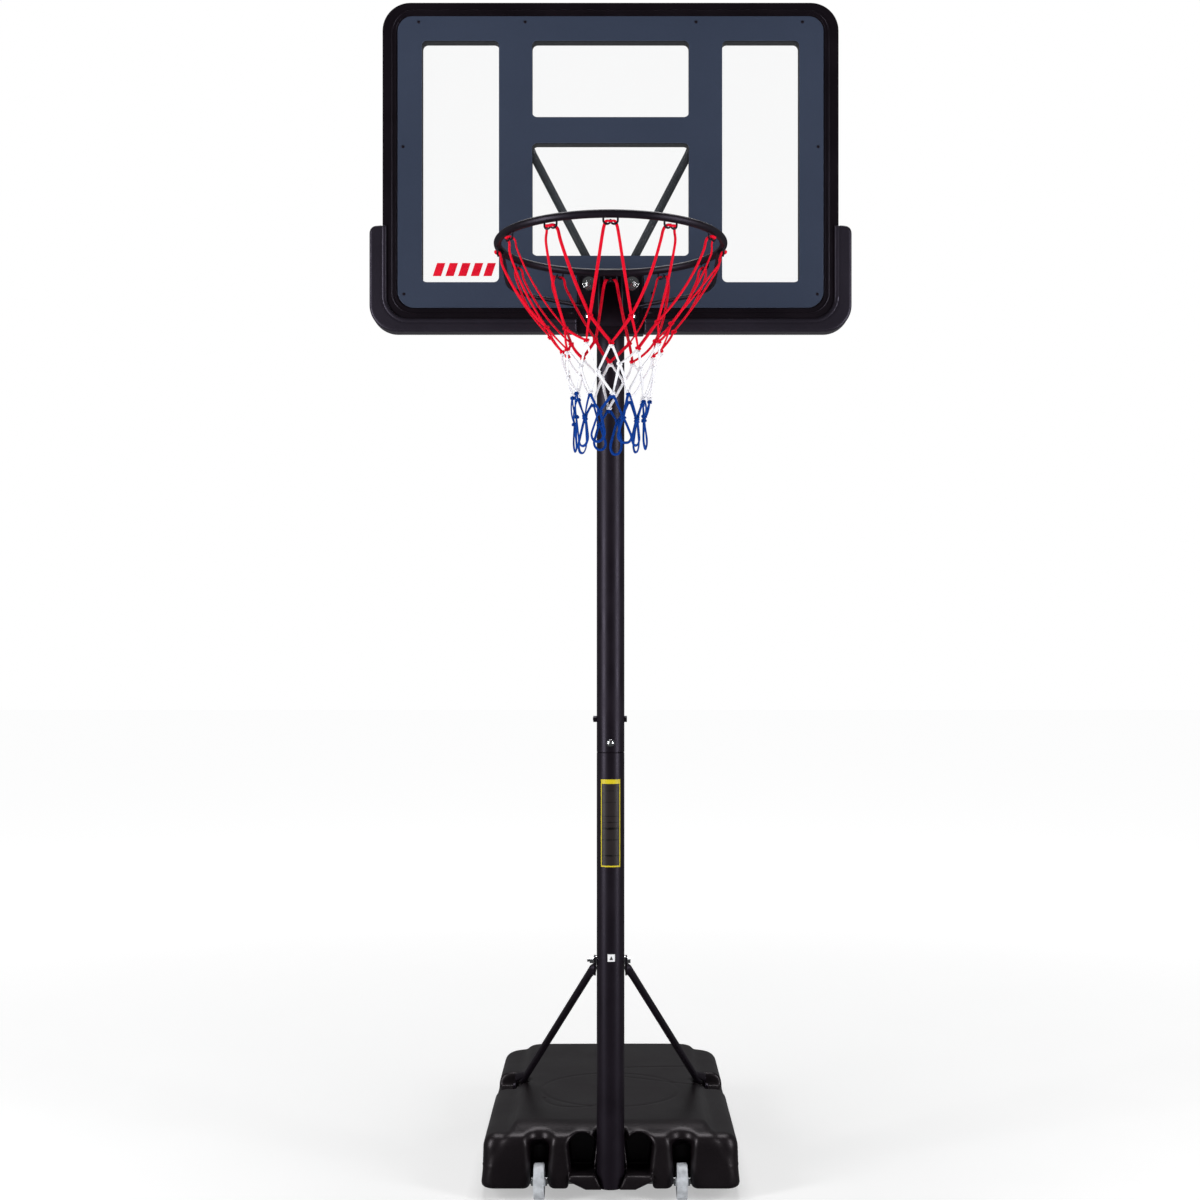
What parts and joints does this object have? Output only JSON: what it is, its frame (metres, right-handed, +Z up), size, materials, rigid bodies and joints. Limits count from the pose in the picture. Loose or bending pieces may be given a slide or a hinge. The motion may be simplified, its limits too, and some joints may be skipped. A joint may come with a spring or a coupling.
{
  "type": "portable basketball hoop",
  "caption": "Portable basketball hoop: filled tank on wheels, braced pole, sliding mast, framed board with windows, sprung rim and net.",
  "frame": {"origin": "on the floor under the middle of the bounding box; the pole's axis is 80 mm in front of it", "axes": "+Z up the pole, +X across the board, -Y towards the player"},
  "size_m": [1.105, 1.542, 2.771],
  "materials": {
    "tank_plastic": "blow-moulded polyethylene, satin",
    "water_fill": "water ballast",
    "black_steel": "powder coat, semi-gloss",
    "dark_steel": "powder coat, satin",
    "zinc": "zinc plated",
    "wheel_plastic": "moulded polypropylene",
    "black_plastic": "moulded, fine grain",
    "seal_rubber": "soft seal",
    "frame_plastic": "moulded, satin",
    "face_slate": "printed sheet, satin",
    "clear_sheet": "clear polycarbonate",
    "guard_foam": "soft moulded guard, satin",
    "label_print": "printed label",
    "sticker_white": "printed sticker",
    "mark_red": "printed mark",
    "net_cord": "braided cord in three colours"
  },
  "bodies": {
    "base": {"base_tank": "tank_plastic", "ballast": "water_fill", "wheel_axle": "zinc", "axle_washers": "zinc", "filler_gasket": "seal_rubber", "lower_pole": "black_steel", "upper_pole": "black_steel", "pole_collar": "black_plastic", "joint_bolt_side": "black_steel", "joint_bolt_front": "zinc", "strut_left": "black_steel", "strut_right": "black_steel", "strut_bolt": "zinc", "strut_foot_bolts": "black_steel", "lock_bolt": "black_steel", "pole_label": "label_print", "pole_sticker": "sticker_white"},
    "wheel_left": {"wheel_left": "wheel_plastic"},
    "wheel_right": {"wheel_right": "wheel_plastic"},
    "filler_cap": {"filler_cap": "black_plastic"},
    "mast": {"mast": "dark_steel", "mast_guide": "black_plastic", "mast_plug": "black_plastic", "board_bracket": "dark_steel", "mast_bolts": "zinc", "board_strut_left": "dark_steel", "board_strut_right": "dark_steel", "board_strut_bolts": "zinc", "board_frame": "frame_plastic", "board_window": "clear_sheet", "board_face": "face_slate", "face_screws": "black_steel", "board_mark": "mark_red", "board_pad": "guard_foam", "rim_bolts_upper": "zinc", "rim_bolts_lower": "zinc", "rim_springs": "zinc"},
    "rim": {"rim_plate": "black_steel", "rim_arm": "black_steel", "rim_ring": "black_steel", "rim_brace": "black_steel", "net_hooks": "black_steel", "net": "net_cord"}
  },
  "joints": [
    {"name": "wheel_left_spin", "type": "hinge", "parent": "base", "child": "wheel_left", "pos_m": [-0.1675, -0.08, 0.042], "axis": [1, 0, 0], "continuous": true},
    {"name": "wheel_right_spin", "type": "hinge", "parent": "base", "child": "wheel_right", "pos_m": [0.1675, -0.08, 0.042], "axis": [1, 0, 0], "continuous": true},
    {"name": "cap_lift", "type": "slide", "parent": "base", "child": "filler_cap", "axis": [0, 0, 1], "range_m": [0, 0.05]},
    {"name": "height_slide", "type": "slide", "parent": "base", "child": "mast", "axis": [0, 0, 1], "range_m": [0, 0.6]},
    {"name": "rim_breakaway", "type": "hinge", "parent": "mast", "child": "rim", "pos_m": [0, -0.1704, 2.032], "axis": [1, 0, 0], "range_deg": [0, 6], "stiffness_Nm_per_rad": 600, "springref_deg": -17.19}
  ]
}
